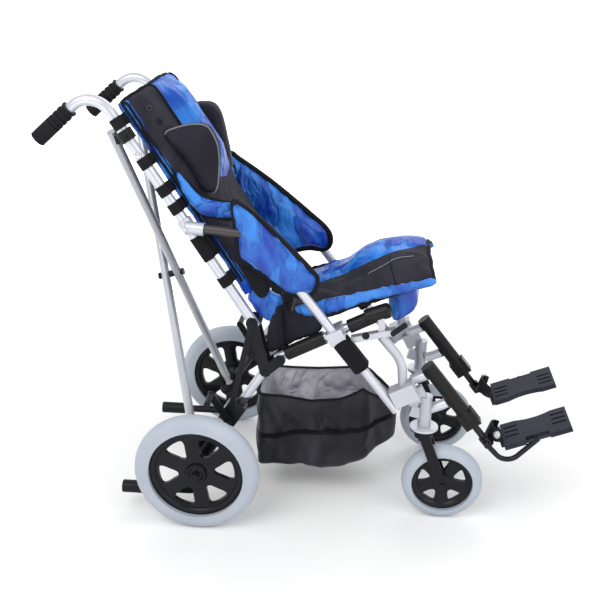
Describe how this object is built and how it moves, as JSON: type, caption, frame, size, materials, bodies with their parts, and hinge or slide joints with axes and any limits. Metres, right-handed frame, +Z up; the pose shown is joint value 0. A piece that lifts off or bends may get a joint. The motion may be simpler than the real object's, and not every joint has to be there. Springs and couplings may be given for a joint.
{
  "type": "special needs stroller",
  "caption": "Folding buggy with a padded reclined seat, tube side frames, crossed rear stays, large rear wheels, swivelling front wheels, footplates and basket",
  "frame": {"origin": "on the floor, at the middle of the whole length and width", "axes": "+X forward towards the footplates, +Y to the seated child's left, +Z up"},
  "size_m": [1.2562, 0.6088, 1.0471],
  "materials": {
    "frame_silver": "silver anodised tube",
    "stay_silver": "satin anodised tube",
    "bracket_silver": "cast and painted silver",
    "plastic_black": "moulded black",
    "rubber_black": "ribbed grip",
    "foam_black": "smooth foam sleeve",
    "webbing_black": "woven webbing",
    "rim_black": "moulded black",
    "tyre_grey": "pale grey tread",
    "loop_black": "satin black",
    "plate_dark": "textured dark",
    "cloth_blue": "shiny coated nylon",
    "cloth_charcoal": "padded mesh cloth",
    "cloth_black": "coated cloth"
  },
  "bodies": {
    "right_frame": {"right_back_tube": "frame_silver", "right_hand_grip": "rubber_black", "right_back_straps": "webbing_black", "right_stay_bracket": "plastic_black", "right_arm_tube": "frame_silver", "right_arm_bracket": "bracket_silver", "right_seat_tube": "frame_silver", "right_seat_foam": "foam_black", "right_knuckle": "plastic_black", "right_rear_leg": "frame_silver", "right_axle_block": "plastic_black", "right_front_post": "frame_silver", "right_front_joints": "bracket_silver", "right_caster_housing": "bracket_silver", "right_leg_rest": "foam_black", "right_wing": "cloth_blue", "right_head_pad": "cloth_charcoal", "right_basket_side": "cloth_black", "seat_cushion": "cloth_blue", "back_cushion": "cloth_blue", "basket_tub": "cloth_black"},
    "left_frame": {"left_back_tube": "frame_silver", "left_hand_grip": "rubber_black", "left_back_straps": "webbing_black", "left_stay_bracket": "plastic_black", "left_arm_tube": "frame_silver", "left_arm_bracket": "bracket_silver", "left_seat_tube": "frame_silver", "left_seat_foam": "foam_black", "left_knuckle": "plastic_black", "left_rear_leg": "frame_silver", "left_axle_block": "plastic_black", "left_front_post": "frame_silver", "left_front_joints": "bracket_silver", "left_caster_housing": "bracket_silver", "left_leg_rest": "foam_black", "left_wing": "cloth_blue", "left_head_pad": "cloth_charcoal", "left_basket_side": "cloth_black"},
    "stay_left": {"stay_to_left_foot": "stay_silver"},
    "stay_right": {"stay_to_right_foot": "stay_silver", "stay_bolt": "plastic_black"},
    "right_rear_wheel": {"right_rear_rim": "rim_black", "right_rear_tyre": "tyre_grey"},
    "right_caster": {"right_caster_fork": "plastic_black"},
    "right_front_wheel": {"right_front_rim": "rim_black", "right_front_tyre": "tyre_grey"},
    "right_brake": {"right_brake_lever": "plastic_black"},
    "right_lock": {"right_lock_lever": "plastic_black"},
    "right_leg_slider": {"right_foot_loop": "loop_black"},
    "right_plate": {"right_footplate": "plate_dark"},
    "left_rear_wheel": {"left_rear_rim": "rim_black", "left_rear_tyre": "tyre_grey"},
    "left_caster": {"left_caster_fork": "plastic_black"},
    "left_front_wheel": {"left_front_rim": "rim_black", "left_front_tyre": "tyre_grey"},
    "left_brake": {"left_brake_lever": "plastic_black"},
    "left_lock": {"left_lock_lever": "plastic_black"},
    "left_leg_slider": {"left_foot_loop": "loop_black"},
    "left_plate": {"left_footplate": "plate_dark"}
  },
  "joints": [
    {"name": "fold", "type": "slide", "parent": "right_frame", "child": "left_frame", "axis": [0, -1, 0], "range_m": [0, 0.18], "deforming": ["seat_cushion", "back_cushion", "basket_tub"]},
    {"name": "stay_left_turn", "type": "hinge", "parent": "left_frame", "child": "stay_left", "pos_m": [-0.26587, 0.16, 0.19037], "axis": [-0.9703, 0, -0.2419], "range_deg": [0, 13]},
    {"name": "stay_right_turn", "type": "hinge", "parent": "right_frame", "child": "stay_right", "pos_m": [-0.29692, -0.16, 0.18263], "axis": [0.9703, 0, 0.2419], "range_deg": [0, 13]},
    {"name": "right_rear_wheel_roll", "type": "hinge", "parent": "right_frame", "child": "right_rear_wheel", "pos_m": [-0.2674, -0.273, 0.1525], "axis": [0, 1, 0], "continuous": true},
    {"name": "right_caster_swivel", "type": "hinge", "parent": "right_frame", "child": "right_caster", "pos_m": [0.2746, -0.166, 0.245], "axis": [0, 0, 1], "continuous": true},
    {"name": "right_front_wheel_roll", "type": "hinge", "parent": "right_caster", "child": "right_front_wheel", "pos_m": [0.3266, -0.166, 0.1], "axis": [0, 1, 0], "continuous": true},
    {"name": "right_brake_press", "type": "hinge", "parent": "right_frame", "child": "right_brake", "pos_m": [-0.19546, -0.22, 0.26251], "axis": [0, -1, 0], "range_deg": [0, 22]},
    {"name": "right_lock_lift", "type": "hinge", "parent": "right_frame", "child": "right_lock", "pos_m": [0.18885, -0.19, 0.50638], "axis": [0, -1, 0], "range_deg": [0, 35]},
    {"name": "right_leg_extend", "type": "slide", "parent": "right_frame", "child": "right_leg_slider", "axis": [0.6198, 0, -0.7848], "range_m": [-0.02, 0.06]},
    {"name": "right_plate_fold", "type": "hinge", "parent": "right_leg_slider", "child": "right_plate", "pos_m": [0.47298, -0.168, 0.20239], "axis": [0.9272, 0, 0.3746], "range_deg": [0, 90]},
    {"name": "left_rear_wheel_roll", "type": "hinge", "parent": "left_frame", "child": "left_rear_wheel", "pos_m": [-0.2674, 0.273, 0.1525], "axis": [0, 1, 0], "continuous": true},
    {"name": "left_caster_swivel", "type": "hinge", "parent": "left_frame", "child": "left_caster", "pos_m": [0.2746, 0.166, 0.245], "axis": [0, 0, 1], "continuous": true},
    {"name": "left_front_wheel_roll", "type": "hinge", "parent": "left_caster", "child": "left_front_wheel", "pos_m": [0.3266, 0.166, 0.1], "axis": [0, 1, 0], "continuous": true},
    {"name": "left_brake_press", "type": "hinge", "parent": "left_frame", "child": "left_brake", "pos_m": [-0.19546, 0.22, 0.26251], "axis": [0, -1, 0], "range_deg": [0, 22]},
    {"name": "left_lock_lift", "type": "hinge", "parent": "left_frame", "child": "left_lock", "pos_m": [0.18885, 0.19, 0.50638], "axis": [0, -1, 0], "range_deg": [0, 35]},
    {"name": "left_leg_extend", "type": "slide", "parent": "left_frame", "child": "left_leg_slider", "axis": [0.6198, 0, -0.7848], "range_m": [-0.02, 0.06]},
    {"name": "left_plate_fold", "type": "hinge", "parent": "left_leg_slider", "child": "left_plate", "pos_m": [0.47298, 0.168, 0.20239], "axis": [-0.9272, 0, -0.3746], "range_deg": [0, 90]}
  ],
  "couplings": [
    {"joint": "stay_left_turn", "follows": "fold", "rad_per_m": 1.2537},
    {"joint": "stay_right_turn", "follows": "fold", "rad_per_m": 1.2537},
    {"joint": "right_plate_fold", "follows": "fold", "rad_per_m": 8.7266},
    {"joint": "left_plate_fold", "follows": "fold", "rad_per_m": 8.7266}
  ]
}
